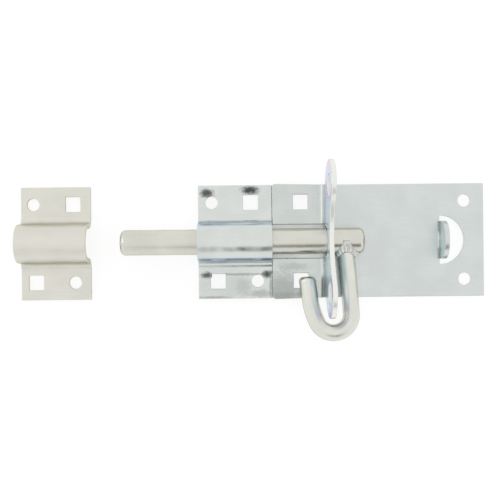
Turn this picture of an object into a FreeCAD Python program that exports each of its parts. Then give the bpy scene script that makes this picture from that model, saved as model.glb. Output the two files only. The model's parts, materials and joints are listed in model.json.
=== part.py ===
import FreeCAD, Part
import math
import os
import Sketcher

# Heavy sliding gate bolt with a padlock plate, lying on its back, and its separate keep.
# Millimetres. Origin: centre of the backplate's rear face. +X runs along the rod from its tip
# to its pull handle, +Z comes out of the plate, and the handle lies flat towards -Y.

DIMENSIONS = [
    ("sheet", 3.0, "thickness of every plate"),
    ("plate_length", 182.0, "backplate along X"),
    ("plate_width", 72.0, "backplate, straps and keep along Y"),
    ("round_hole", 8.0, "screw hole diameter"),
    ("square_hole", 9.5, "side of a square hole for a carriage bolt"),
    ("screw_x", 78.7, "the two screw holes at the handle end"),
    ("row_y", 25.0, "rows of fixing holes from the centre line"),
    ("stop_x", 62.9, "end stop's face, also the straight side of the D opening"),
    ("stop_opening", 15.6, "radius of the D opening"),
    ("stop_width", 24.0, "end stop along Y"),
    ("stop_top", 20.0, "top of the end stop"),
    ("stop_bend", 1.5, "inner bend radius of the end stop"),
    ("rod_diameter", 16.0, "bolt rod"),
    ("rod_length", 153.0, "bolt rod"),
    ("rod_tip", -139.5, "free end of the rod"),
    ("rod_chamfer", 2.0, "chamfer at both ends of the rod"),
    ("axis_height", 11.6, "rod axis above the rear face"),
    ("guide_play", 1.2, "radial play between rod and guides"),
    ("arch_bend", 5.0, "inner bend radius between an arch and its flanges"),
    ("strap_left", -91.0, "guide strap's left edge"),
    ("strap_length", 46.8, "guide strap along X"),
    ("strap_round_a", 8.6, "the strap's upper screw hole from its left edge"),
    ("strap_round_b", 37.6, "the strap's lower screw hole from its left edge"),
    ("strap_square_a", 33.4, "the strap's upper square hole from its left edge"),
    ("strap_square_b", 12.4, "the strap's lower square hole from its left edge"),
    ("keep_left", -204.2, "keep's left edge"),
    ("keep_length", 44.4, "keep along X"),
    ("keep_round_a", 7.8, "the keep's upper screw hole from its left edge"),
    ("keep_round_b", 34.4, "the keep's lower screw hole from its left edge"),
    ("keep_square_a", 33.1, "the keep's upper square hole from its left edge"),
    ("keep_square_b", 9.4, "the keep's lower square hole from its left edge"),
    ("leg_left", -43.9, "bracket base leg's left edge"),
    ("leg_flare", 0.7, "extra half width of the leg at its free end"),
    ("leg_corner", 2.0, "corner radius of the leg"),
    ("slot_width", 21.6, "slot under the rod"),
    ("slot_top", 9.0, "height where the slot ends in the upright"),
    ("slot_reach", 12.0, "how far the slot's cut runs past the upright's face"),
    ("upright_x", -11.1, "upright's face at the level of the leg's underside"),
    ("upright_lean", 3.5, "degrees that the upright leans towards the handle"),
    ("upright_bend", 3.5, "inner bend radius of the bracket"),
    ("bracket_hole_x", -25.9, "square holes in the base leg"),
    ("upright_shift", 1.0, "how far the ears sit off the centre line towards +Y"),
    ("flare_start", 6.8, "where the upright's sides begin to flare, above the leg's underside"),
    ("ear_y", 34.5, "centre of an ear from the middle of the upright"),
    ("ear_rise", 22.6, "centre of an ear above the leg's underside"),
    ("ear_radius", 14.5, "outer radius of an ear"),
    ("waist_rise", 25.0, "lowest point between the ears above the leg's underside"),
    ("lock_hole_y", 33.5, "padlock hole from the middle of the upright"),
    ("lock_hole_z", 28.0, "padlock hole above the rear face"),
    ("lock_hole", 14.0, "padlock hole diameter"),
    ("bar_diameter", 10.6, "handle bar"),
    ("handle_x", 1.7, "where the handle's centre line leaves the rod axis"),
    ("handle_slant", 4.3, "degrees that the long leg slants towards +X"),
    ("hook_y", -46.5, "centre of the hook's tight bend"),
    ("hook_radius", 11.3, "tight bend, at the bar's centre line"),
    ("hook_opening", 50.0, "wide bend that opens the short leg outwards"),
    ("short_leg_slant", 7.5, "degrees that the short leg slants"),
    ("short_leg_x", -22.6, "end of the short leg"),
    ("short_leg_y", -22.5, "end of the short leg"),
    ("weld_gap", 0.2, "clearance between rod and handle root"),
    ("weld_size", 1.5, "weld bead round the handle's root, out from the bar"),
    ("weld_length", 2.4, "weld bead along the bar"),
]

doc = FreeCAD.newDocument("gate_bolt")
sheet = doc.addObject("Spreadsheet::Sheet", "dims")
for row, (alias, value, note) in enumerate(DIMENSIONS, start=1):
    sheet.set(f"A{row}", note)
    sheet.set(f"B{row}", str(value))
    sheet.setAlias(f"B{row}", alias)
doc.recompute()

V = FreeCAD.Vector
NORMAL = V(0, 0, 1)
TOUCH = 0.01  # two places closer than this are the same


def size(alias):
    """A driving dimension as a number, for the first guess that a sketch is solved from."""
    return float(getattr(sheet, alias))


def new_body(name):
    body = doc.addObject("PartDesign::Body", name)
    body.Label = name
    return body


def new_sketch(body, name, role, offset=None, angle=None, about=V(1, 0, 0)):
    """A sketch on an origin plane of the body, moved along its normal or turned about an axis."""
    sketch = body.newObject("Sketcher::SketchObject", name)
    planes = {feature.Role: feature for feature in body.Origin.OriginFeatures}
    sketch.AttachmentSupport = [(planes[role], "")]
    sketch.MapMode = "FlatFace"
    if angle:
        sketch.AttachmentOffset = FreeCAD.Placement(V(), FreeCAD.Rotation(about, 1.0))
        sketch.setExpression("AttachmentOffset.Rotation.Angle", angle)
    if offset:
        sketch.setExpression("AttachmentOffset.Base.z", offset)
    return sketch


def bind(sketch, kind, *args, to):
    """Adds one dimension to a sketch and ties it to an expression on the sheet."""
    index = sketch.addConstraint(Sketcher.Constraint(kind, *args))
    sketch.setExpression(f".Constraints[{index}]", to)


def place_point(sketch, geometry, which, x, y):
    point = sketch.getPoint(geometry, which)
    bind(sketch, "DistanceX", -1, 1, geometry, which, point.x, to=x)
    bind(sketch, "DistanceY", -1, 1, geometry, which, point.y, to=y)


def polygon(sketch, corners):
    """A closed outline of straight lines through corners given as pairs of expressions."""
    count = len(corners)
    turns = [2 * math.pi * k / count for k in range(count)]
    guess = [V(math.cos(turn), math.sin(turn), 0) for turn in turns]
    lines = [
        sketch.addGeometry(Part.LineSegment(guess[k], guess[(k + 1) % count])) for k in range(count)
    ]
    for k, line in enumerate(lines):
        sketch.addConstraint(Sketcher.Constraint("Coincident", line, 2, lines[(k + 1) % count], 1))
    for line, (x, y) in zip(lines, corners):
        place_point(sketch, line, 1, x, y)


def rectangle(sketch, left, right, bottom, top):
    polygon(sketch, [(left, bottom), (right, bottom), (right, top), (left, top)])


def circle(sketch, x, y, diameter):
    index = sketch.addGeometry(Part.Circle(V(), NORMAL, 1.0))
    bind(sketch, "Diameter", index, 2.0, to=diameter)
    place_point(sketch, index, 3, x, y)


def tunnel(sketch, radius, bottom, spring):
    """An upright outline, centred on x = 0, with straight sides and a half-round top."""
    base, right, left = (
        sketch.addGeometry(Part.LineSegment(V(*start, 0), V(*end, 0)))
        for start, end in (((-1, -1), (1, -1)), ((1, -1), (1, 0)), ((-1, 0), (-1, -1)))
    )
    top = sketch.addGeometry(Part.ArcOfCircle(Part.Circle(V(), NORMAL, 1.0), 0, math.pi))
    sketch.addConstraint(Sketcher.Constraint("Coincident", base, 2, right, 1))
    sketch.addConstraint(Sketcher.Constraint("Coincident", left, 2, base, 1))
    sketch.addConstraint(Sketcher.Constraint("Tangent", right, 2, top, 1))
    sketch.addConstraint(Sketcher.Constraint("Tangent", top, 2, left, 1))
    sketch.addConstraint(Sketcher.Constraint("Vertical", right))
    sketch.addConstraint(Sketcher.Constraint("Vertical", left))
    sketch.addConstraint(Sketcher.Constraint("Horizontal", base))
    place_point(sketch, top, 3, "0", spring)
    bind(sketch, "Radius", top, 1.0, to=radius)
    bind(sketch, "DistanceY", -1, 1, base, 1, -1.0, to=bottom)


def pad(body, sketch, length, symmetric=False):
    feature = body.newObject("PartDesign::Pad", f"{sketch.Name}_pad")
    feature.Profile = sketch
    feature.setExpression("Length", length)
    feature.SideType = "Symmetric" if symmetric else "One side"
    doc.recompute()
    return feature


def pocket(body, sketch, length=None):
    """Cuts through everything both ways, or up from the sketch by a length, and makes sure it cuts."""
    before = body.Shape.Volume
    feature = body.newObject("PartDesign::Pocket", f"{sketch.Name}_pocket")
    feature.Profile = sketch
    if length:
        feature.Type = "Length"
        feature.Reversed = True
        feature.setExpression("Length", length)
    else:
        feature.Type = "ThroughAll"
        feature.SideType = "Symmetric"
    doc.recompute()
    if body.Shape.Volume > before - 1.0:
        raise RuntimeError(f"{feature.Name} cuts nothing")
    return feature


def dress(body, kind, dimension, amount, name, chosen):
    """A fillet or chamfer on the edges of the body's tip that pass the test."""
    base = body.Tip
    edges = [f"Edge{k}" for k, edge in enumerate(base.Shape.Edges, start=1) if chosen(edge)]
    if not edges:
        raise RuntimeError(f"{name} found no edge")
    feature = body.newObject(f"PartDesign::{kind}", name)
    feature.Base = (base, edges)
    feature.setExpression(dimension, amount)
    doc.recompute()
    return feature


def runs_along(edge, axis, length):
    """True for a straight edge along an axis and at least so long."""
    box = edge.BoundBox
    spans = {"x": box.XLength, "y": box.YLength, "z": box.ZLength}
    across = [span for name, span in spans.items() if name != axis]
    return spans[axis] > length and max(across) < TOUCH


def at(value, target):
    return abs(value - target) < TOUCH


def screw_and_bolt_holes(sketch, rounds, squares):
    for x, y in rounds:
        circle(sketch, x, y, "dims.round_hole")
    for x, y in squares:
        half = "dims.square_hole / 2"
        rectangle(sketch, f"{x} - {half}", f"{x} + {half}", f"{y} - {half}", f"{y} + {half}")


ROW = "dims.row_y"
BELOW = "-dims.row_y"
STRAP_ROUND = [
    ("dims.strap_left + dims.strap_round_a", ROW),
    ("dims.strap_left + dims.strap_round_b", BELOW),
]
STRAP_SQUARE = [
    ("dims.strap_left + dims.strap_square_a", ROW),
    ("dims.strap_left + dims.strap_square_b", BELOW),
]
KEEP_ROUND = [
    ("dims.keep_left + dims.keep_round_a", ROW),
    ("dims.keep_left + dims.keep_round_b", BELOW),
]
KEEP_SQUARE = [
    ("dims.keep_left + dims.keep_square_a", ROW),
    ("dims.keep_left + dims.keep_square_b", BELOW),
]
BRACKET_SQUARE = [("dims.bracket_hole_x", ROW), ("dims.bracket_hole_x", BELOW)]
END_ROUND = [("dims.screw_x", ROW), ("dims.screw_x", BELOW)]

HALF_WIDTH = "dims.plate_width / 2"
GUIDE_RADIUS = "(dims.rod_diameter / 2 + dims.guide_play)"


def make_backplate():
    """Flat plate with its fixing holes, and a tongue bent up out of the D opening as the end stop."""
    body = new_body("backplate")
    outline = new_sketch(body, "plate_outline", "XY_Plane")
    rectangle(
        outline, "-dims.plate_length / 2", "dims.plate_length / 2", f"-{HALF_WIDTH}", HALF_WIDTH
    )
    pad(body, outline, "dims.sheet")

    holes = new_sketch(body, "plate_holes", "XY_Plane")
    screw_and_bolt_holes(holes, STRAP_ROUND + END_ROUND, STRAP_SQUARE + BRACKET_SQUARE)
    pocket(body, holes)

    opening = new_sketch(body, "stop_opening", "XY_Plane")
    start, radius = size("stop_x"), size("stop_opening")
    arc = opening.addGeometry(
        Part.ArcOfCircle(Part.Circle(V(start, 0, 0), NORMAL, radius), -math.pi / 2, math.pi / 2)
    )
    chord = opening.addGeometry(Part.LineSegment(V(start, radius, 0), V(start, -radius, 0)))
    opening.addConstraint(Sketcher.Constraint("Coincident", arc, 2, chord, 1))
    opening.addConstraint(Sketcher.Constraint("Coincident", chord, 2, arc, 1))
    opening.addConstraint(Sketcher.Constraint("PointOnObject", arc, 3, chord))
    opening.addConstraint(Sketcher.Constraint("Vertical", chord))
    place_point(opening, arc, 3, "dims.stop_x", "0")
    bind(opening, "Radius", arc, radius, to="dims.stop_opening")
    pocket(body, opening)

    tongue = new_sketch(body, "stop_tongue", "YZ_Plane", offset="dims.stop_x")
    tunnel(tongue, "dims.stop_width / 2", "0", "dims.stop_top - dims.stop_width / 2")
    pad(body, tongue, "dims.sheet")
    # the tongue's inner bend is at its face on the plate, its outer bend at the back and below
    face, back = size("stop_x"), size("stop_x") + size("sheet")
    root = size("stop_width") - 2 * size("sheet")
    for label, radius, x, z in (
        ("inner", "dims.stop_bend", face, size("sheet")),
        ("outer", "dims.sheet", back, 0),
    ):
        dress(
            body, "Fillet", "Radius", radius, f"stop_{label}_bend",
            lambda e: runs_along(e, "y", root) and at(e.BoundBox.XMin, x) and at(e.BoundBox.ZMin, z),
        )
    return body


def make_hat(name, left, length, underside, rounds, squares):
    """Strap with a round arch over the rod and a flange on each side: the guide and the keep."""
    body = new_body(name)
    top = f"({underside} + dims.sheet)"
    flange = new_sketch(body, f"{name}_flange", "YZ_Plane", offset=left)
    rectangle(flange, f"-{HALF_WIDTH}", HALF_WIDTH, underside, top)
    pad(body, flange, length)
    arch = new_sketch(body, f"{name}_arch", "YZ_Plane", offset=left)
    tunnel(arch, f"{GUIDE_RADIUS} + dims.sheet", underside, "dims.axis_height")
    pad(body, arch, length)
    bore = new_sketch(body, f"{name}_bore", "YZ_Plane", offset=left)
    tunnel(bore, GUIDE_RADIUS, f"{underside} - dims.sheet", "dims.axis_height")
    pocket(body, bore)

    inner = size("rod_diameter") / 2 + size("guide_play")
    outer = inner + size("sheet")
    level = body.Shape.BoundBox.ZMin
    most = 0.8 * body.Shape.BoundBox.XLength
    for label, half, height, radius in (
        ("root", outer, level + size("sheet"), "dims.arch_bend"),
        ("mouth", inner, level, "dims.arch_bend + dims.sheet"),
    ):
        dress(
            body, "Fillet", "Radius", radius, f"{name}_{label}_bend",
            lambda e: runs_along(e, "x", most)
            and at(abs(e.BoundBox.YMin), half)
            and at(e.BoundBox.ZMin, height),
        )
    holes = new_sketch(body, f"{name}_holes", "XY_Plane")
    screw_and_bolt_holes(holes, rounds, squares)
    pocket(body, holes)
    return body


def upright_outline(sketch):
    """Upright's outline in its own plane: flared sides, two round ears and a hollow waist between."""
    half, flare, shift = size("plate_width") / 2, size("flare_start"), size("upright_shift")
    ear_y, rise, radius = size("ear_y"), size("ear_rise"), size("ear_radius")
    drop = size("waist_rise") - rise
    saddle = (ear_y**2 + drop**2 - radius**2) / (2 * (radius - drop))
    saddle_centre = size("waist_rise") + saddle

    def side_angle(ear_centre):
        """Where the flared side touches an ear so far from the centre line."""
        away = math.hypot(half - ear_centre, flare - rise)
        return math.atan2(flare - rise, half - ear_centre) + math.acos(radius / away)

    right_side_angle, left_side_angle = side_angle(ear_y + shift), math.pi - side_angle(ear_y - shift)
    inside = math.atan2(saddle_centre - rise, -ear_y)
    right_centre, left_centre = V(ear_y + shift, rise, 0), V(shift - ear_y, rise, 0)

    def on_ear(centre, angle):
        return centre + V(math.cos(angle), math.sin(angle), 0) * radius

    right_touch, left_touch = on_ear(right_centre, right_side_angle), on_ear(left_centre, left_side_angle)
    waist = Part.Circle(V(shift, saddle_centre, 0), NORMAL, saddle)
    right_ear, left_ear = (Part.Circle(centre, NORMAL, radius) for centre in (right_centre, left_centre))

    def line(start, end):
        return sketch.addGeometry(Part.LineSegment(start, end))

    base = line(V(-half, 0, 0), V(half, 0, 0))
    right_side = line(V(half, 0, 0), V(half, flare, 0))
    right_flare = line(V(half, flare, 0), right_touch)
    right_arc = sketch.addGeometry(Part.ArcOfCircle(right_ear, right_side_angle, inside))
    waist_arc = sketch.addGeometry(Part.ArcOfCircle(waist, -inside, inside - math.pi))
    left_arc = sketch.addGeometry(Part.ArcOfCircle(left_ear, math.pi - inside, left_side_angle))
    left_flare = line(left_touch, V(-half, flare, 0))
    left_side = line(V(-half, flare, 0), V(-half, 0, 0))

    for kind, first, first_end, second, second_end in (
        ("Coincident", base, 2, right_side, 1),
        ("Coincident", right_side, 2, right_flare, 1),
        ("Tangent", right_flare, 2, right_arc, 1),
        ("Tangent", right_arc, 2, waist_arc, 2),
        ("Tangent", waist_arc, 1, left_arc, 1),
        ("Tangent", left_arc, 2, left_flare, 1),
        ("Coincident", left_flare, 2, left_side, 1),
        ("Coincident", left_side, 2, base, 1),
    ):
        sketch.addConstraint(Sketcher.Constraint(kind, first, first_end, second, second_end))
    place_point(sketch, base, 1, f"-{HALF_WIDTH}", "0")
    place_point(sketch, right_side, 1, HALF_WIDTH, "0")
    place_point(sketch, right_flare, 1, HALF_WIDTH, "dims.flare_start")
    place_point(sketch, left_side, 1, f"-{HALF_WIDTH}", "dims.flare_start")
    place_point(sketch, right_arc, 3, "dims.upright_shift + dims.ear_y", "dims.ear_rise")
    place_point(sketch, left_arc, 3, "dims.upright_shift - dims.ear_y", "dims.ear_rise")
    bind(sketch, "Radius", right_arc, radius, to="dims.ear_radius")
    bind(sketch, "Radius", left_arc, radius, to="dims.ear_radius")
    waist_level = "(dims.waist_rise - dims.ear_rise)"
    chord = f"(dims.ear_y^2 + {waist_level}^2 - dims.ear_radius^2)"
    bind(sketch, "Radius", waist_arc, saddle, to=f"{chord} / (2 * (dims.ear_radius - {waist_level}))")


def make_locking_bracket():
    """L-shaped bracket: a base leg under the rod, and an upright whose ears take padlocks."""
    body = new_body("locking_bracket")
    leg = new_sketch(body, "leg_outline", "XY_Plane", offset="dims.sheet")
    heel = "dims.upright_x + dims.sheet"
    wide = f"({HALF_WIDTH} + dims.leg_flare)"
    bend_start = "dims.upright_x - 2 * dims.sheet"
    polygon(
        leg,
        [
            ("dims.leg_left", f"-{wide}"),
            (bend_start, f"-{HALF_WIDTH}"),
            (heel, f"-{HALF_WIDTH}"),
            (heel, HALF_WIDTH),
            (bend_start, HALF_WIDTH),
            ("dims.leg_left", wide),
        ],
    )
    pad(body, leg, "dims.sheet")
    upright = new_sketch(
        body, "upright_outline", "YZ_Plane", offset="dims.upright_x", angle="dims.upright_lean"
    )
    upright.setExpression("AttachmentOffset.Base.y", "dims.sheet")
    upright_outline(upright)
    pad(body, upright, "dims.sheet")

    # the leaning upright dips below the leg's underside, so it is cut level there
    heel_trim = new_sketch(body, "heel_trim", "XY_Plane")
    rectangle(
        heel_trim, "dims.upright_x - dims.sheet", f"{heel} + dims.sheet",
        "-dims.plate_width", "dims.plate_width",
    )
    pocket(body, heel_trim, length="dims.sheet")

    underside, leg_top = size("sheet"), 2 * size("sheet")
    most = 0.8 * size("plate_width")

    def crosses(edge, height):
        return runs_along(edge, "y", most) and at(edge.BoundBox.ZMin, height)

    inner_x = max(e.BoundBox.XMin for e in body.Shape.Edges if crosses(e, leg_top))
    dress(
        body, "Fillet", "Radius", "dims.upright_bend", "bracket_inner_bend",
        lambda e: crosses(e, leg_top) and at(e.BoundBox.XMin, inner_x),
    )
    dress(
        body, "Fillet", "Radius", "dims.upright_bend + dims.sheet", "bracket_outer_bend",
        lambda e: crosses(e, underside) and e.BoundBox.XMin > inner_x,
    )
    dress(
        body, "Fillet", "Radius", "dims.leg_corner", "leg_corners",
        lambda e: runs_along(e, "z", underside / 2) and at(e.BoundBox.XMin, size("leg_left")),
    )

    slot = new_sketch(body, "rod_slot", "XY_Plane")
    rectangle(
        slot, "dims.leg_left - dims.sheet", "dims.upright_x + dims.slot_reach",
        "-dims.slot_width / 2", "dims.slot_width / 2",
    )
    pocket(body, slot, length="dims.slot_top")
    rod_hole = new_sketch(body, "rod_hole", "YZ_Plane")
    circle(rod_hole, "0", "dims.axis_height", f"2 * {GUIDE_RADIUS}")
    pocket(body, rod_hole)
    squares = new_sketch(body, "leg_holes", "XY_Plane")
    screw_and_bolt_holes(squares, [], BRACKET_SQUARE)
    pocket(body, squares)
    lock_holes = new_sketch(body, "lock_holes", "YZ_Plane")
    for y in ("dims.lock_hole_y", "-dims.lock_hole_y"):
        circle(lock_holes, f"dims.upright_shift + {y}", "dims.lock_hole_z", "dims.lock_hole")
    pocket(body, lock_holes)
    return body


def make_bolt_rod():
    body = new_body("bolt_rod")
    end = new_sketch(body, "rod_end", "YZ_Plane", offset="dims.rod_tip")
    circle(end, "0", "dims.axis_height", "dims.rod_diameter")
    pad(body, end, "dims.rod_length")
    dress(
        body, "Chamfer", "Size", "dims.rod_chamfer", "rod_ends",
        lambda e: isinstance(e.Curve, Part.Circle),
    )
    return body


def handle_path(sketch):
    """Centre line of the handle bar: long leg, tight bend, wide bend, short leg."""
    root = V(size("handle_x"), 0, 0)
    tight, wide = size("hook_radius"), size("hook_opening")
    slant = math.radians(size("handle_slant"))
    short_slant = math.radians(size("short_leg_slant"))
    # the long leg touches the tight bend at the angle of its own slant
    centre_x = root.x + (-size("hook_y")) * math.tan(slant) - tight / math.cos(slant)
    centre = V(centre_x, size("hook_y"), 0)
    long_end = centre + V(math.cos(slant), math.sin(slant), 0) * tight
    tip = V(size("short_leg_x"), size("short_leg_y"), 0)
    side = V(math.cos(short_slant), math.sin(short_slant), 0)
    # the wide bend's centre is its own radius from the short leg, and the difference of the two
    # radii from the tight bend's centre
    along = V(math.sin(short_slant), -math.cos(short_slant), 0)
    offset = centre - (tip + side * wide)
    run = offset.dot(along) - math.sqrt((wide - tight) ** 2 - offset.dot(side) ** 2)
    wide_centre = tip + side * wide + along * run
    short_end = tip + along * run
    toward = (centre - wide_centre).normalize()
    turn = math.atan2(toward.y, toward.x) % (2 * math.pi)

    long_leg = sketch.addGeometry(Part.LineSegment(root, long_end))
    tight_arc = sketch.addGeometry(
        Part.ArcOfCircle(Part.Circle(centre, NORMAL, tight), turn, 2 * math.pi + slant)
    )
    wide_arc = sketch.addGeometry(
        Part.ArcOfCircle(Part.Circle(wide_centre, NORMAL, wide), math.pi + short_slant, turn)
    )
    short_leg = sketch.addGeometry(Part.LineSegment(short_end, tip))
    for first, first_end, second, second_end in (
        (long_leg, 2, tight_arc, 2),
        (tight_arc, 1, wide_arc, 2),
        (wide_arc, 1, short_leg, 1),
    ):
        sketch.addConstraint(Sketcher.Constraint("Tangent", first, first_end, second, second_end))
    place_point(sketch, long_leg, 1, "dims.handle_x", "0")
    place_point(sketch, short_leg, 2, "dims.short_leg_x", "dims.short_leg_y")
    bind(sketch, "Radius", tight_arc, tight, to="dims.hook_radius")
    bind(sketch, "Radius", wide_arc, wide, to="dims.hook_opening")
    bind(sketch, "DistanceY", -1, 1, tight_arc, 3, centre.y, to="dims.hook_y")
    leg_drift = "dims.hook_y * tan(dims.handle_slant)"
    bind(
        sketch, "DistanceX", -1, 1, tight_arc, 3, centre.x,
        to=f"dims.handle_x - {leg_drift} - dims.hook_radius / cos(dims.handle_slant)",
    )


def make_pull_handle():
    """Round bar bent to a hook, its root saddled to the rod."""
    body = new_body("pull_handle")
    path = new_sketch(body, "handle_path", "XY_Plane", offset="dims.axis_height")
    handle_path(path)
    section = new_sketch(body, "handle_section", "XZ_Plane")
    circle(section, "dims.handle_x", "dims.axis_height", "dims.bar_diameter")
    doc.recompute()
    bar = body.newObject("PartDesign::AdditivePipe", "handle_bar")
    bar.Profile = section
    bar.Spine = (path, [f"Edge{k + 1}" for k in range(len(path.Geometry))])
    doc.recompute()
    saddle = new_sketch(body, "handle_saddle", "YZ_Plane")
    circle(saddle, "0", "dims.axis_height", "dims.rod_diameter + 2 * dims.weld_gap")
    pocket(body, saddle)
    return body


def make_handle_weld():
    """Fillet weld round the handle's root: a cone over the bar, saddled to the rod."""
    body = new_body("handle_weld")
    bead = new_sketch(
        body, "weld_section", "XY_Plane", offset="dims.axis_height", angle="dims.handle_slant", about=NORMAL
    )
    bead.setExpression("AttachmentOffset.Base.x", "dims.handle_x")
    inner = "dims.bar_diameter / 2"
    reach = "(-dims.rod_diameter / 2 - dims.weld_length)"
    polygon(
        bead,
        [
            (inner, "-dims.rod_diameter / 4"),
            (inner, reach),
            (f"{inner} + dims.weld_size", f"{reach} + dims.weld_length"),
            (f"{inner} + dims.weld_size", "-dims.rod_diameter / 4"),
        ],
    )
    turn = body.newObject("PartDesign::Revolution", "weld_turn")
    turn.Profile = bead
    turn.ReferenceAxis = (bead, ["V_Axis"])
    turn.Angle = 360
    doc.recompute()
    saddle = new_sketch(body, "weld_saddle", "YZ_Plane")
    circle(saddle, "0", "dims.axis_height", "dims.rod_diameter + 2 * dims.weld_gap")
    pocket(body, saddle)
    return body


pieces = [
    make_backplate(),
    make_hat(
        "guide_strap", "dims.strap_left", "dims.strap_length", "dims.sheet", STRAP_ROUND, STRAP_SQUARE
    ),
    make_locking_bracket(),
    make_bolt_rod(),
    make_pull_handle(),
    make_handle_weld(),
    make_hat("keep", "dims.keep_left", "dims.keep_length", "0", KEEP_ROUND, KEEP_SQUARE),
]
doc.recompute()

for item in doc.Objects:
    if "Invalid" in item.State or "Error" in item.State:
        raise RuntimeError(f"{item.Name} failed: {item.State}")
for piece in pieces:
    shape = piece.Shape
    if shape.isNull() or not shape.isValid() or len(shape.Solids) != 1:
        raise RuntimeError(f"{piece.Label} is not one valid solid")

os.makedirs("parts", exist_ok=True)
for piece in pieces:
    piece.Shape.exportStep(f"parts/{piece.Label}.step")
    print(piece.Label, round(piece.Shape.Volume), "mm3")
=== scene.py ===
import json
import math
import random

import bmesh
import bpy
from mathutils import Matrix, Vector, noise


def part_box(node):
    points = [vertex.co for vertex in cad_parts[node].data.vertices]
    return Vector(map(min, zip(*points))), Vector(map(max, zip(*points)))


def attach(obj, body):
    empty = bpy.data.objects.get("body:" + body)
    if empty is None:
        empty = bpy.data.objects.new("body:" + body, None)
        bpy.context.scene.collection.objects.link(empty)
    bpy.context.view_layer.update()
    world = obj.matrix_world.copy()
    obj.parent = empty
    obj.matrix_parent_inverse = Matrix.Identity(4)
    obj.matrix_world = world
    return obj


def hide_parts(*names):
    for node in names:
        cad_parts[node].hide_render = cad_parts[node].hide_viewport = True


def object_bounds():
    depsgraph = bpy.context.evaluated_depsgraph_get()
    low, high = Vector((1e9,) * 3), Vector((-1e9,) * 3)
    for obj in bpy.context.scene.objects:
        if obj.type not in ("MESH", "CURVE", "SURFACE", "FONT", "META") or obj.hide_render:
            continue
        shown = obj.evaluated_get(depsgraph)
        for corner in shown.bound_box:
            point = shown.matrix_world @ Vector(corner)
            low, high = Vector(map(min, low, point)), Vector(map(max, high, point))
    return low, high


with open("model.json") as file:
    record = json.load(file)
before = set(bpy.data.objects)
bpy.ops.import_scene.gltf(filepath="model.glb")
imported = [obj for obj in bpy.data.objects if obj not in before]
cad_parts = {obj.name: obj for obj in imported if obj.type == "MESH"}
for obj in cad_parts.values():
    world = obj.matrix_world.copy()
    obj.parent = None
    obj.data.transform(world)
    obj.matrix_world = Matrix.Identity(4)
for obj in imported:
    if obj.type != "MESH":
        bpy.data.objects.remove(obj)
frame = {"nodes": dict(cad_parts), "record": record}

# Zinc-plated steel gate bolt, seen from straight above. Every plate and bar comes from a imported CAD
# node: the node is copied and its sharp edges are rounded. The weld bead and the marks of the spot
# welds are modelled here. Colours are linear, lengths are metres.

MM = 0.001
scene = bpy.context.scene
scene.view_settings.view_transform = "Standard"
cad_low, cad_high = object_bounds()
rod_low, rod_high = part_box("bolt_rod")
bar_low, bar_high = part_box("pull_handle")
strap_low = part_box("guide_strap")[0]
bracket_low, bracket_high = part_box("locking_bracket")

AXIS_Z = (rod_low.z + rod_high.z) / 2
ROD_RADIUS = (rod_high.z - rod_low.z) / 2
BAR_RADIUS = (bar_high.z - bar_low.z) / 2
SHEET = strap_low.z
HANDLE_JOINT = next(j for j in frame["record"]["behaviour"]["joints"] if j["name"] == "handle_turn")
HANDLE_X = HANDLE_JOINT["pos_m"][0]
# How the handle's bar slants away from the rod and bends into its hook, as in the CAD.
HANDLE_SLANT = math.radians(4.3)
HOOK_RADIUS = 11.3 * MM
HOOK_CENTRE = Vector((-6.1 * MM, bar_low.y + BAR_RADIUS + HOOK_RADIUS, AXIS_Z))
# One of the two tight corners where the end stop leaves its opening; the other is its mirror image.
STOP_ROOT = Vector((64.4 * MM, 12.0 * MM, 0.0))
STOP_ROOT_REACH = 4.0 * MM
STOP_ROOT_TOP = 1.6 * SHEET

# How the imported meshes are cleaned: points this close are one, edges this blunt lie in a flat face,
# and only sharper ones are rounded.
SAME_POINT = 2e-6
FLAT = math.radians(0.4)
SHARP = math.radians(28)
# How far the roundings reach.
SHEARED_EDGE = 0.35 * MM
BRACKET_EDGE = 0.40 * MM
ROD_EDGE = 1.1 * MM
BAR_EDGE = 0.3 * MM
BAR_TIP = 2.6 * MM

# Sizes of the marks in the plating.
CLOUDS = 17 * MM
DRIFTS = 20 * MM
WAVES = 12 * MM
WORN_PATCHES = 4 * MM
RAGGED_EDGES = 1.8 * MM
SPECKS = 0.9 * MM
GRAIN_LINES = 0.35 * MM
SCRATCHES_ALONG = 0.28 * MM
SCRATCHES_ACROSS = 0.30 * MM
RELIEF_STRENGTH = 0.25
RELIEF_DEPTH = 0.6 * MM

# Colours that the plating takes in places; two of them also serve as painted highlight and shade.
SPECK_GREY = (0.34, 0.36, 0.34)
LINE_GREY = (0.36, 0.38, 0.37)
# Painted highlight for the top edge of the bracket's upright.
CREST_HIGHLIGHT = (0.84, 0.84, 0.80)
SCRATCH_SHINE = (0.80, 0.82, 0.80)
# Soot round the welds, also used for painted shade and a painted dark reflection.
SOOT_AND_PAINTED_SHADE = (0.075, 0.085, 0.080)
RUBBED_EDGE = (0.74, 0.74, 0.70)


# ---------------------------------------------------------------- materials

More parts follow.
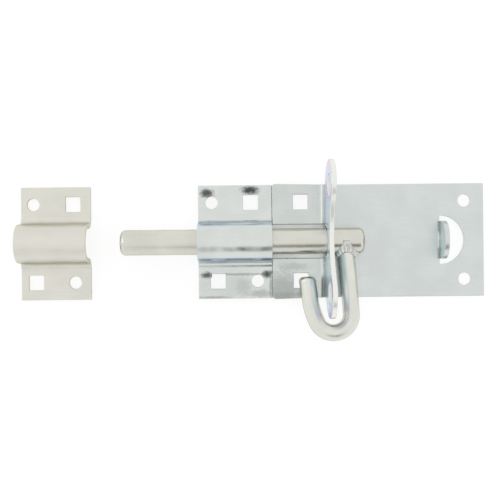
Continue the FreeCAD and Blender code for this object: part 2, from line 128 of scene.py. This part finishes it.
class Nodes:
    """Short ways to add and link the nodes of a material or a world.

    place: the coordinates of its patterns, Object, Generated or the name of a vertex attribute.
    """

    def __init__(self, owner, place="Object"):
        owner.use_nodes = True
        self.tree = owner.node_tree
        if place in ("Object", "Generated"):
            self.place = self.add("ShaderNodeTexCoord").outputs[place]
        else:
            self.place = self.add("ShaderNodeAttribute", attribute_name=place).outputs["Vector"]

    def add(self, kind, **settings):
        node = self.tree.nodes.new(kind)
        for key, value in settings.items():
            setattr(node, key, value)
        return node

    def put(self, socket, value):
        if isinstance(value, bpy.types.NodeSocket):
            self.tree.links.new(value, socket)
        else:
            socket.default_value = value

    def math(self, operation, *values):
        node = self.add("ShaderNodeMath", operation=operation)
        for socket, value in zip(node.inputs, values):
            self.put(socket, value)
        return node.outputs[0]

    def vector(self, operation, *values):
        node = self.add("ShaderNodeVectorMath", operation=operation)
        for socket, value in zip(node.inputs, values):
            self.put(socket, value)
        return node.outputs["Value" if operation == "LENGTH" else "Vector"]

    def mix(self, factor, first, second):
        node = self.add("ShaderNodeMix", data_type="RGBA")
        self.put(node.inputs[0], factor)
        for socket, value in ((node.inputs[6], first), (node.inputs[7], second)):
            self.put(socket, (*value, 1.0) if isinstance(value, tuple) else value)
        return node.outputs[2]

    def span(self, value, low, high, out_low=0.0, out_high=1.0):
        """Maps low..high smoothly to out_low..out_high, clamped."""
        node = self.add("ShaderNodeMapRange", interpolation_type="SMOOTHSTEP")
        for socket, number in zip(node.inputs, (value, low, high, out_low, out_high)):
            self.put(socket, number)
        return node.outputs[0]

    def noise(self, size, stretch=(1.0, 1.0, 1.0), detail=3.0, turn=0.0):
        """Noise with blobs about size metres across, times the stretch along each axis."""
        mapping = self.add("ShaderNodeMapping")
        self.put(mapping.inputs["Vector"], self.place)
        mapping.inputs["Rotation"].default_value = (0.0, 0.0, turn)
        mapping.inputs["Scale"].default_value = [1.0 / (size * s) for s in stretch]
        node = self.add("ShaderNodeTexNoise")
        node.inputs["Scale"].default_value = 1.0
        node.inputs["Detail"].default_value = detail
        self.put(node.inputs["Vector"], mapping.outputs[0])
        return node.outputs["Fac"]

    def spot(self, centre, radii, ragged):
        """1 in the middle of an ellipsoid, falling to 0 at its ragged edge."""
        from_centre = self.vector("SUBTRACT", self.place, centre)
        reach = self.vector("LENGTH", self.vector("DIVIDE", from_centre, radii))
        return self.span(self.math("MULTIPLY_ADD", ragged, 1.1, reach), 1.45, 0.30)

    def split(self, vector):
        node = self.add("ShaderNodeSeparateXYZ")
        self.put(node.inputs[0], vector)
        return node.outputs

    def steepness(self):
        """0 on faces square to the piece's own Z, 1 on upright ones."""
        normal = self.add("ShaderNodeTexCoord").outputs["Normal"]
        return self.math("SUBTRACT", 1.0, self.math("ABSOLUTE", self.split(normal)[2]))

    def above(self, start, full):
        """0 below the height start, 1 above the height full."""
        return self.span(self.split(self.place)[2], start, full)

    def ramp(self, factor, colours, first=0.34, last=0.66):
        """Blends through the colours as the factor goes from first to last."""
        node = self.add("ShaderNodeValToRGB")
        self.put(node.inputs[0], factor)
        stops = node.color_ramp.elements
        while len(stops) < len(colours):
            stops.new(0.5)
        for k, (stop, colour) in enumerate(zip(stops, colours)):
            stop.position = first + (last - first) * k / (len(colours) - 1)
            stop.color = (*colour, 1.0)
        return node.outputs[0]


def zinc(
    name, bright, cloudy, tints, rough=0.26, grain=70.0, place="Object", waviness=1.0,
    edge_glow=0.9, smudges_and_shade=(), stains=(), tint_from=0.55, tint_above=None, crest_from=None,
    steep_metal=None,
):
    """Bright zinc plate: clouded satin metal, grain, scratches, passivate tints, worn edges, painted
    light.

    bright, cloudy: the two tones of the clouds
    grain: how long the lines of the grain are for their width
    tints: colours that drift over faces steeper than tint_from and above the height tint_above
    crest_from: height above which the plating is painted a lighter cream, a painted highlight
    the dark spots and stains: ragged dark spots, which are soot and painted shade, and ragged
    coloured spots on steep faces
    steep_metal: how metallic the bent, steep and cream parts are, where a film dulls them
    """
    material = bpy.data.materials.new(name)
    n = Nodes(material, place)
    shader = n.tree.nodes["Principled BSDF"]
    steep = n.steepness()
    cloud = n.noise(CLOUDS, detail=4.0)
    specks = n.noise(SPECKS, detail=2.0)
    lines = n.noise(GRAIN_LINES, stretch=(grain, 1.0, 1.0), detail=2.0)
    along = n.noise(SCRATCHES_ALONG, stretch=(34.0, 1.0, 1.0), detail=1.0, turn=0.5)
    across = n.noise(SCRATCHES_ACROSS, stretch=(1.0, 28.0, 1.0), detail=1.0, turn=0.3)
    scratches = n.math("MAXIMUM", n.span(along, 0.70, 0.76), n.span(across, 0.71, 0.77))

    tone = n.mix(n.span(cloud, 0.34, 0.68), bright, cloudy)
    tone = n.mix(n.span(specks, 0.62, 0.80, 0.0, 0.16), tone, SPECK_GREY)
    tone = n.mix(n.span(lines, 0.40, 0.78, 0.0, 0.08), tone, LINE_GREY)
    # Steep faces take the tints: passivate colour, and on the bars, the keep and the weld also
    # painted shade.
    tinted = n.span(steep, tint_from, tint_from + 0.3)
    if tint_above:
        tinted = n.math("MULTIPLY", tinted, n.above(tint_above, 1.3 * tint_above))
    # Painted highlight: above crest_from the plate is painted lighter cream, to brighten the
    # upright's top edge.
    if crest_from:
        on_crest = n.above(crest_from, 1.5 * crest_from)
        tone = n.mix(on_crest, tone, CREST_HIGHLIGHT)
    drift = n.noise(DRIFTS, stretch=(1.6, 1.0, 1.0), detail=1.5)
    tone = n.mix(tinted, tone, n.ramp(drift, tints))
    if stains or smudges_and_shade:
        ragged = n.math("SUBTRACT", n.noise(RAGGED_EDGES, detail=4.0), 0.5)
    for centre, radii, colour in stains:
        mask = n.math("MULTIPLY", n.spot(centre, radii, ragged), n.span(steep, 0.5, 0.8))
        tone = n.mix(mask, tone, colour)
    tone = n.mix(n.math("MULTIPLY", scratches, 0.07), tone, SCRATCH_SHINE)
    # Ragged dark spots: soot round the welds, and painted shade where a caller paints a shadow or a
    # dark reflection.
    for centre, radii, strength in smudges_and_shade:
        mask = n.math("MULTIPLY", n.spot(centre, radii, ragged), strength)
        tone = n.mix(mask, tone, SOOT_AND_PAINTED_SHADE)
    on_edge = n.add("ShaderNodeAttribute", attribute_name="worn").outputs["Fac"]
    wear = n.math("MULTIPLY", on_edge, n.span(n.noise(WORN_PATCHES, detail=3.0), 0.35, 0.60))
    tone = n.mix(n.math("MULTIPLY", wear, 0.55), tone, RUBBED_EDGE)
    n.put(shader.inputs["Base Color"], tone)

    shader.inputs["Metallic"].default_value = 1.0
    if steep_metal:
        filmed = n.span(steep, 0.03, 0.35)
        if crest_from:
            filmed = n.math("MAXIMUM", filmed, on_crest)
        n.put(shader.inputs["Metallic"], n.span(filmed, 0.0, 1.0, 1.0, steep_metal))
    shader.inputs["Specular Tint"].default_value = (edge_glow, edge_glow, 0.96 * edge_glow, 1.0)

    roughness = n.math("MULTIPLY_ADD", cloud, 0.14, rough - 0.07)
    for mark, amount in ((lines, 0.07), (scratches, 0.05), (wear, -0.08)):
        roughness = n.math("MULTIPLY_ADD", mark, amount, roughness)
    n.put(shader.inputs["Roughness"], roughness)

    relief = n.math("MULTIPLY", n.noise(WAVES, detail=1.0), waviness)
    for mark, amount in ((lines, 0.045), (specks, 0.02)):
        relief = n.math("MULTIPLY_ADD", mark, amount, relief)
    bump = n.add("ShaderNodeBump")
    bump.inputs["Strength"].default_value = RELIEF_STRENGTH
    bump.inputs["Distance"].default_value = RELIEF_DEPTH
    n.put(bump.inputs["Height"], relief)
    n.put(shader.inputs["Normal"], bump.outputs[0])
    return material


# Passivate colours: on the bracket's upright, on the strap's bends, on the end stop, in part on the
# bars.
BLUE_TINTS = ((0.60, 0.80, 0.82), (0.64, 0.76, 0.90), (0.56, 0.68, 0.88), (0.68, 0.58, 0.84))
BEND_TINTS = ((0.50, 0.61, 0.73), (0.66, 0.75, 0.81), (0.43, 0.53, 0.71), (0.60, 0.64, 0.77))
PLATE_TINTS = ((0.60, 0.78, 0.80), (0.58, 0.76, 0.80), (0.64, 0.80, 0.82), (0.66, 0.75, 0.80))
# Warm tints for the steep sides of the bars, the keep and the weld: a yellow passivate cast, darker
# as painted shade.
WARM_TINTS_AND_SIDE_SHADE = ((0.55, 0.52, 0.40), (0.66, 0.62, 0.50), (0.52, 0.50, 0.40), (0.64, 0.62, 0.54))


def on_flange(along, across, wide, high, strength):
    """A dark mark on the strap's flange, for soot and for painted shade, in millimetres from its left
    edge and its centre line.
    """
    centre = (strap_low.x + along * MM, across * MM, 2 * SHEET)
    return centre, (wide * MM, high * MM, 3 * MM), strength


def on_leg(along, across, wide, high, strength):
    """A smudge on the bracket's base leg, in millimetres from its left edge and its centre line."""
    centre = (bracket_low.x + along * MM, across * MM, 2 * SHEET)
    return centre, (wide * MM, high * MM, 4 * MM), strength


def on_ear(edge_y, high, tall, colour):
    """A stain on the outer part of the ear that ends at edge_y, its half sizes in millimetres."""
    centre = (bracket_high.x, edge_y, bracket_high.z - 8 * MM)
    return centre, (9 * MM, high * MM, tall * MM), colour


# Where the electrodes pressed on the strap, in millimetres from its left edge and its centre line.
SPOT_WELDS = [(5.8, 31.0), (33.1, 32.6), (5.4, -21.0), (44.0, -20.8)]
# Dark marks on the strap: soot at the spot welds, mottling on the lower flange, and three lines of
# painted shade.
STRAP_SMUDGES_AND_SHADE = [
    on_flange(5.8, 31.0, 4.2, 2.8, 0.95),
    on_flange(33.1, 32.6, 5.6, 2.6, 1.00),
    on_flange(5.4, -21.0, 3.4, 1.8, 0.90),
    on_flange(43.4, -20.8, 3.4, 2.4, 0.95),
    # Painted dark reflection: the line where the lower bend ends, mirrored in the flange.
    on_flange(25.0, -20.6, 22.0, 0.8, 0.40),
    # Painted shadow in the gap where the strap meets the bracket.
    on_flange(46.0, -28.0, 1.2, 9.0, 0.45),
    on_flange(28.7, -28.5, 5.0, 5.5, 0.16),
    on_flange(22.0, -28.5, 26.0, 8.0, 0.10),
    on_flange(40.0, -33.0, 8.0, 2.4, 0.30),
    # Painted shadow along the strap's lower edge, where it lies on the backplate.
    on_flange(9.0, -35.2, 11.0, 1.0, 0.40),
]
BRACKET_SMUDGES = [
    on_leg(6.0, -30.0, 14.0, 10.0, 0.36),
    on_leg(14.0, -16.0, 10.0, 2.5, 0.22),
    on_leg(10.0, -34.5, 14.0, 2.5, 0.22),
]
PINK, VIOLET = (0.78, 0.54, 0.66), (0.56, 0.48, 0.78)
BRACKET_STAINS = [
    on_ear(bracket_high.y, 7.0, 12.0, PINK),
    on_ear(bracket_low.y, 8.0, 13.0, VIOLET),
]

MATERIALS = {
    "backplate": zinc(
        "zinc_backplate", (0.665, 0.705, 0.685), (0.635, 0.670, 0.655), PLATE_TINTS,
        edge_glow=1.0, steep_metal=0.8, tint_above=1.1 * SHEET,
    ),
    "guide_strap": zinc(
        "zinc_strap", (0.700, 0.730, 0.705), (0.655, 0.690, 0.668), BEND_TINTS,
        rough=0.18, waviness=2.0, edge_glow=1.0, smudges_and_shade=STRAP_SMUDGES_AND_SHADE,
        tint_from=0.30, tint_above=2.05 * SHEET,
    ),
    # The bracket is painted lighter cream above crest_from, a painted highlight on its upright's top
    # edge.
    "locking_bracket": zinc(
        "zinc_bracket", (0.635, 0.670, 0.645), (0.595, 0.635, 0.610), BLUE_TINTS,
        rough=0.22, waviness=1.5, edge_glow=1.0, smudges_and_shade=BRACKET_SMUDGES, stains=BRACKET_STAINS,
        tint_above=2.05 * SHEET, crest_from=3.5 * SHEET, steep_metal=0.45,
    ),
    "bolt_rod": zinc(
        "zinc_rod", (0.700, 0.690, 0.625), (0.655, 0.645, 0.580), WARM_TINTS_AND_SIDE_SHADE,
        rough=0.22, grain=110.0, tint_from=0.5, waviness=0.5,
    ),
    "pull_handle": zinc(
        "zinc_handle", (0.760, 0.765, 0.700), (0.715, 0.720, 0.655), WARM_TINTS_AND_SIDE_SHADE,
        rough=0.27, grain=60.0, place="drawn", tint_from=0.5, waviness=0.7,
    ),
    "keep": zinc(
        "zinc_keep", (0.730, 0.715, 0.645), (0.695, 0.685, 0.620), WARM_TINTS_AND_SIDE_SHADE,
        rough=0.32, waviness=0.8,
    ),
    "weld": zinc(
        "zinc_weld", (0.780, 0.770, 0.720), (0.620, 0.620, 0.580), WARM_TINTS_AND_SIDE_SHADE,
        rough=0.30, grain=1.0, waviness=2.0,
    ),
}


# ------------------------------------------------------------------- pieces

def apply_modifiers(piece):
    """Replaces a piece's mesh with the result of its modifiers."""
    graph = bpy.context.evaluated_depsgraph_get()
    mesh = bpy.data.meshes.new_from_object(piece.evaluated_get(graph))
    piece.modifiers.clear()
    piece.data = mesh


def new_piece(name, mesh):
    piece = bpy.data.objects.new(name, mesh)
    scene.collection.objects.link(piece)
    return piece


def smooth_piece(name, edit, material):
    """A piece with the edited mesh in one smooth material."""
    mesh = bpy.data.meshes.new(name)
    edit.to_mesh(mesh)
    edit.free()
    mesh.materials.append(material)
    for face in mesh.polygons:
        face.use_smooth = True
    return new_piece(name, mesh)


def mark_worn(piece):
    """Gives each vertex inside a rounded edge a wear value of 1, and all faces one material."""
    mesh = piece.data
    inside = [1.0] * len(mesh.vertices)
    for face in mesh.polygons:
        if face.material_index == 0:
            for vertex in face.vertices:
                inside[vertex] = 0.0
        face.material_index = 0
        face.use_smooth = True
    mesh.attributes.new("worn", "FLOAT", "POINT").data.foreach_set("value", inside)


def mark_drawn(piece):
    """Coordinates along, across and above the hooked bar, for the lines that drawing left on it."""
    mesh = piece.data
    flow = []
    for vertex in mesh.vertices:
        out = vertex.co - HOOK_CENTRE
        if out.y > 0:
            along, across = math.copysign(out.y, out.x), abs(out.x)
        else:
            turn = math.atan2(out.x, -out.y)
            along = (turn - math.copysign(math.pi / 2, turn)) * HOOK_RADIUS
            across = math.hypot(out.x, out.y)
        flow += (along, across, out.z)
    mesh.attributes.new("drawn", "FLOAT_VECTOR", "POINT").data.foreach_set("vector", flow)


def rounded(node, body, edge, wide_edge=0.0, is_wide=None, is_sharp=None):
    """Stands for a CAD node: its shape, with edges rounded as shearing and plating leave them.

    edge, wide_edge: how far a rounding reaches, and how far where is_wide(middle of the edge)
    is_sharp: says of an edge's middle that the edge stays sharp
    """
    mesh = frame["nodes"][node].data.copy()
    edit = bmesh.new()
    edit.from_mesh(mesh)
    bmesh.ops.remove_doubles(edit, verts=edit.verts, dist=SAME_POINT)
    bmesh.ops.dissolve_limit(edit, angle_limit=FLAT, verts=edit.verts, edges=edit.edges)
    weight = edit.edges.layers.float.new("bevel_weight_edge")
    for line in edit.edges:
        if line.is_manifold and line.calc_face_angle() > SHARP:
            middle = (line.verts[0].co + line.verts[1].co) / 2
            if is_sharp and is_sharp(middle):
                continue
            wide = not wide_edge or is_wide(middle)
            line[weight] = 1.0 if wide else edge / wide_edge
    edit.to_mesh(mesh)
    edit.free()
    # The faces that the bevel makes take the second slot, and mark_worn knows them by it.
    mesh.materials.clear()
    for _ in range(2):
        mesh.materials.append(MATERIALS[node])
    piece = new_piece(f"{node}_rounded", mesh)
    bevel = piece.modifiers.new("edges", "BEVEL")
    bevel.width = wide_edge or edge
    bevel.segments = 4 if wide_edge else 3
    bevel.limit_method = "WEIGHT"
    bevel.use_clamp_overlap = False
    bevel.material = 1
    apply_modifiers(piece)
    mark_worn(piece)
    piece.data.materials.pop(index=1)
    soften = piece.modifiers.new("normals", "WEIGHTED_NORMAL")
    soften.weight = 80
    apply_modifiers(piece)
    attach(piece, body)
    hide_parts(node)
    return piece


def weld_bead():
    """Lumpy fillet round the handle's root, rippled as a hand-held torch leaves it."""
    edit = bmesh.new()
    around, across = 144, 9
    ripples, specks = 17, 9
    axis = Vector((math.sin(HANDLE_SLANT), -math.cos(HANDLE_SLANT), 0))
    side = Vector((math.cos(HANDLE_SLANT), math.sin(HANDLE_SLANT), 0))
    root = Vector((HANDLE_X, 0, AXIS_Z))
    skin = ROD_RADIUS + 0.05 * MM

    def on_rod(turn, reach):
        """Where a line along the bar, so far out from the bar's axis, meets the rod's skin."""
        start = root + side * math.cos(turn) * reach + Vector((0, 0, math.sin(turn) * reach))
        height = start.z - AXIS_Z
        depth = math.sqrt(max(skin**2 - height**2, 0.0))
        return start + axis * ((depth + start.y) / -axis.y)

    rings = []
    for k in range(around):
        turn = 2 * math.pi * k / around
        ripple = abs(math.sin(ripples / 2 * turn + 0.8 * math.sin(3 * turn)))
        top = max(math.sin(turn), 0.0) ** 2
        lump = noise.noise(Vector((2.2 * math.cos(turn), 2.2 * math.sin(turn), 4.0)))
        spread = (1.65 + 0.45 * lump + 0.15 * ripple + 1.35 * top) * MM
        rise = (2.3 + 0.7 * lump + 0.35 * ripple - 1.2 * top) * MM
        foot_rod = on_rod(turn, BAR_RADIUS + spread)
        foot_bar = on_rod(turn, BAR_RADIUS) + axis * rise
        buried = on_rod(turn, BAR_RADIUS - 0.5 * MM)
        outward = side * math.cos(turn) + Vector((0, 0, math.sin(turn)))
        ring = [edit.verts.new(buried)]
        for step in range(across):
            part = step / (across - 1)
            bulge = math.sin(math.pi * part) * (0.15 + 0.55 * ripple + 0.15 * lump) * MM
            point = foot_bar.lerp(foot_rod, part)
            ring.append(edit.verts.new(point + (outward + axis).normalized() * bulge))
        rings.append(ring)
    for k in range(around):
        here, after = rings[k], rings[(k + 1) % around]
        for step in range(across + 1):
            upper = (step + 1) % (across + 1)
            edit.faces.new((here[step], here[upper], after[upper], after[step]))

    def drop(place, radius, fineness, uneven, dents):
        """A ball of spatter, uneven by dents that lie so many to the metre."""
        ball = bmesh.ops.create_icosphere(edit, subdivisions=fineness, radius=radius)
        for vertex in ball["verts"]:
            vertex.co = place + vertex.co * (1.0 + uneven * noise.noise(vertex.co * dents))

    random.seed(11)
    for _ in range(specks):
        turn = random.uniform(-1.2, 2.4)
        out = side * math.cos(turn) + Vector((0, 0, math.sin(turn)))
        place = root + axis * random.uniform(10.5, 15.0) * MM + out * (BAR_RADIUS + 0.05 * MM)
        drop(place, random.uniform(0.25, 0.5) * MM, 2, 0.12, 4000)
    drop(on_rod(0.35, BAR_RADIUS + 1.6 * MM), 1.25 * MM, 3, 0.25, 1500)
    bmesh.ops.recalc_face_normals(edit, faces=edit.faces)
    piece = smooth_piece("handle_weld_bead", edit, MATERIALS["weld"])
    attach(piece, "handle")
    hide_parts("handle_weld")


# A spot weld's mark, a soft rim round a dip: how far from its middle, and how high above the sheet.
MARK_DIP = 0.03
MARK_RINGS = ((0.7, 0.04), (1.2, 0.08), (1.6, 0.14), (1.9, 0.15), (2.2, 0.10), (2.6, -0.10))


def spot_weld_marks():
    """Shallow craters that the welding electrodes left on the strap's flanges."""
    edit = bmesh.new()
    around = 40
    random.seed(5)
    for along, across in SPOT_WELDS:
        centre = Vector((strap_low.x + along * MM, across * MM, 2 * SHEET))
        stretch = random.uniform(1.0, 1.35)
        rings = []
        for reach, rise in MARK_RINGS:
            ring = []
            for k in range(around):
                turn = 2 * math.pi * k / around
                uneven = 1.0 + 0.10 * noise.noise(Vector((math.cos(turn), math.sin(turn), along)))
                out = Vector((math.cos(turn) * stretch, math.sin(turn), 0)) * reach * uneven
                ring.append(edit.verts.new(centre + (out + Vector((0, 0, rise))) * MM))
            rings.append(ring)
        dip = edit.verts.new(centre + Vector((0, 0, MARK_DIP * MM)))
        for k in range(around):
            after = (k + 1) % around
            edit.faces.new((dip, rings[0][k], rings[0][after]))
            for inner, outer in zip(rings, rings[1:]):
                edit.faces.new((inner[k], outer[k], outer[after], inner[after]))
        edit.faces.new(list(reversed(rings[-1])))
    bmesh.ops.recalc_face_normals(edit, faces=edit.faces)
    piece = smooth_piece("spot_weld_marks", edit, MATERIALS["guide_strap"])
    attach(piece, "base")


def at_stop_root(point):
    """Whether a point is at one of the two tight corners where the end stop leaves its opening."""
    reach = math.hypot(point.x - STOP_ROOT.x, abs(point.y) - STOP_ROOT.y)
    return reach < STOP_ROOT_REACH and point.z < STOP_ROOT_TOP


def at_bar_tip(point):
    """Whether a point is on the hook's free leg."""
    return point.x < HOOK_CENTRE.x and point.y > HOOK_CENTRE.y


rounded("backplate", "base", SHEARED_EDGE, is_sharp=at_stop_root)
rounded("guide_strap", "base", SHEARED_EDGE)
spot_weld_marks()
rounded("locking_bracket", "base", BRACKET_EDGE)
rounded("bolt_rod", "bolt", ROD_EDGE)
rounded("keep", "keep", SHEARED_EDGE)
handle = rounded("pull_handle", "handle", BAR_EDGE, BAR_TIP, is_wide=at_bar_tip)
mark_drawn(handle)
weld_bead()


# ------------------------------------------------------- floor, light, camera

WHITE = (1.0, 1.0, 1.0)
SLOT_BLACK = (0.01, 0.01, 0.01)
# The tent's dark slot: where each part of the direction enters it, and where it is fully dark.
SLOT_EDGES = (
    ("y", -0.42, -0.60), ("y", -0.92, -0.80), ("z", 0.25, 0.40), ("x", -0.05, 0.03),
    ("x", 0.40, 0.15),
)
FLOOR_GREYS = ((0.16, 0.16, 0.16), (0.18, 0.18, 0.18))
FLOOR_REACH = 3.0
FLOOR_CLOUDS = 80 * MM
FLOOR_GLOW = 0.85
FLOOR_GAP = 0.2 * MM
# Fitted to the photograph, together with the object's place in it.
CAMERA_PLACE = (-0.0582, -0.00525, 0.570)
CAMERA_LENS = 63.94
CAMERA_ROLL = math.radians(-0.6)


def make_floor():
    """Pale matt table under the object; it glows, so that shadows on it stay faint."""
    material = bpy.data.materials.new("pale_floor")
    n = Nodes(material)
    shader = n.tree.nodes["Principled BSDF"]
    cloud = n.span(n.noise(FLOOR_CLOUDS, detail=2.0), 0.3, 0.7)
    n.put(shader.inputs["Base Color"], n.mix(cloud, *FLOOR_GREYS))
    shader.inputs["Roughness"].default_value = 0.95
    shader.inputs["Specular IOR Level"].default_value = 0.0
    shader.inputs["Emission Color"].default_value = (*WHITE, 1.0)
    shader.inputs["Emission Strength"].default_value = FLOOR_GLOW
    edit = bmesh.new()
    bmesh.ops.create_grid(edit, x_segments=1, y_segments=1, size=FLOOR_REACH)
    floor = smooth_piece("floor", edit, material)
    floor.location.z = cad_low.z - FLOOR_GAP


def make_world():
    """White light tent; the arch and the bars reflect one dark slot in its side towards -Y."""
    world = bpy.data.worlds.new("light_tent")
    scene.world = world
    n = Nodes(world, "Generated")
    direction = dict(zip("xyz", n.split(n.place)))
    slot = 1.0
    for part, outside, inside in SLOT_EDGES:
        slot = n.math("MULTIPLY", n.span(direction[part], outside, inside), slot)
    n.put(n.tree.nodes["Background"].inputs["Color"], n.mix(slot, WHITE, SLOT_BLACK))


def softbox(name, place, size, watts):
    """A rectangular lamp that faces the middle of the object."""
    light = bpy.data.lights.new(name, "AREA")
    light.shape = "RECTANGLE"
    light.size, light.size_y = size
    light.energy = watts
    lamp = bpy.data.objects.new(name, light)
    lamp.location = place
    lamp.rotation_euler = (-Vector(place)).to_track_quat("-Z", "Y").to_euler()
    scene.collection.objects.link(lamp)


def make_camera():
    """Straight down, turned a little, as the object lies in its picture."""
    data = bpy.data.cameras.new("camera")
    data.sensor_width = 36.0
    data.lens = CAMERA_LENS
    camera = bpy.data.objects.new("camera", data)
    camera.location = CAMERA_PLACE
    camera.rotation_euler = (0, 0, CAMERA_ROLL)
    scene.collection.objects.link(camera)
    scene.camera = camera


make_floor()
make_world()
softbox("left_box", (-0.85, 0.25, 0.60), (0.6, 0.6), 0.5)
make_camera()
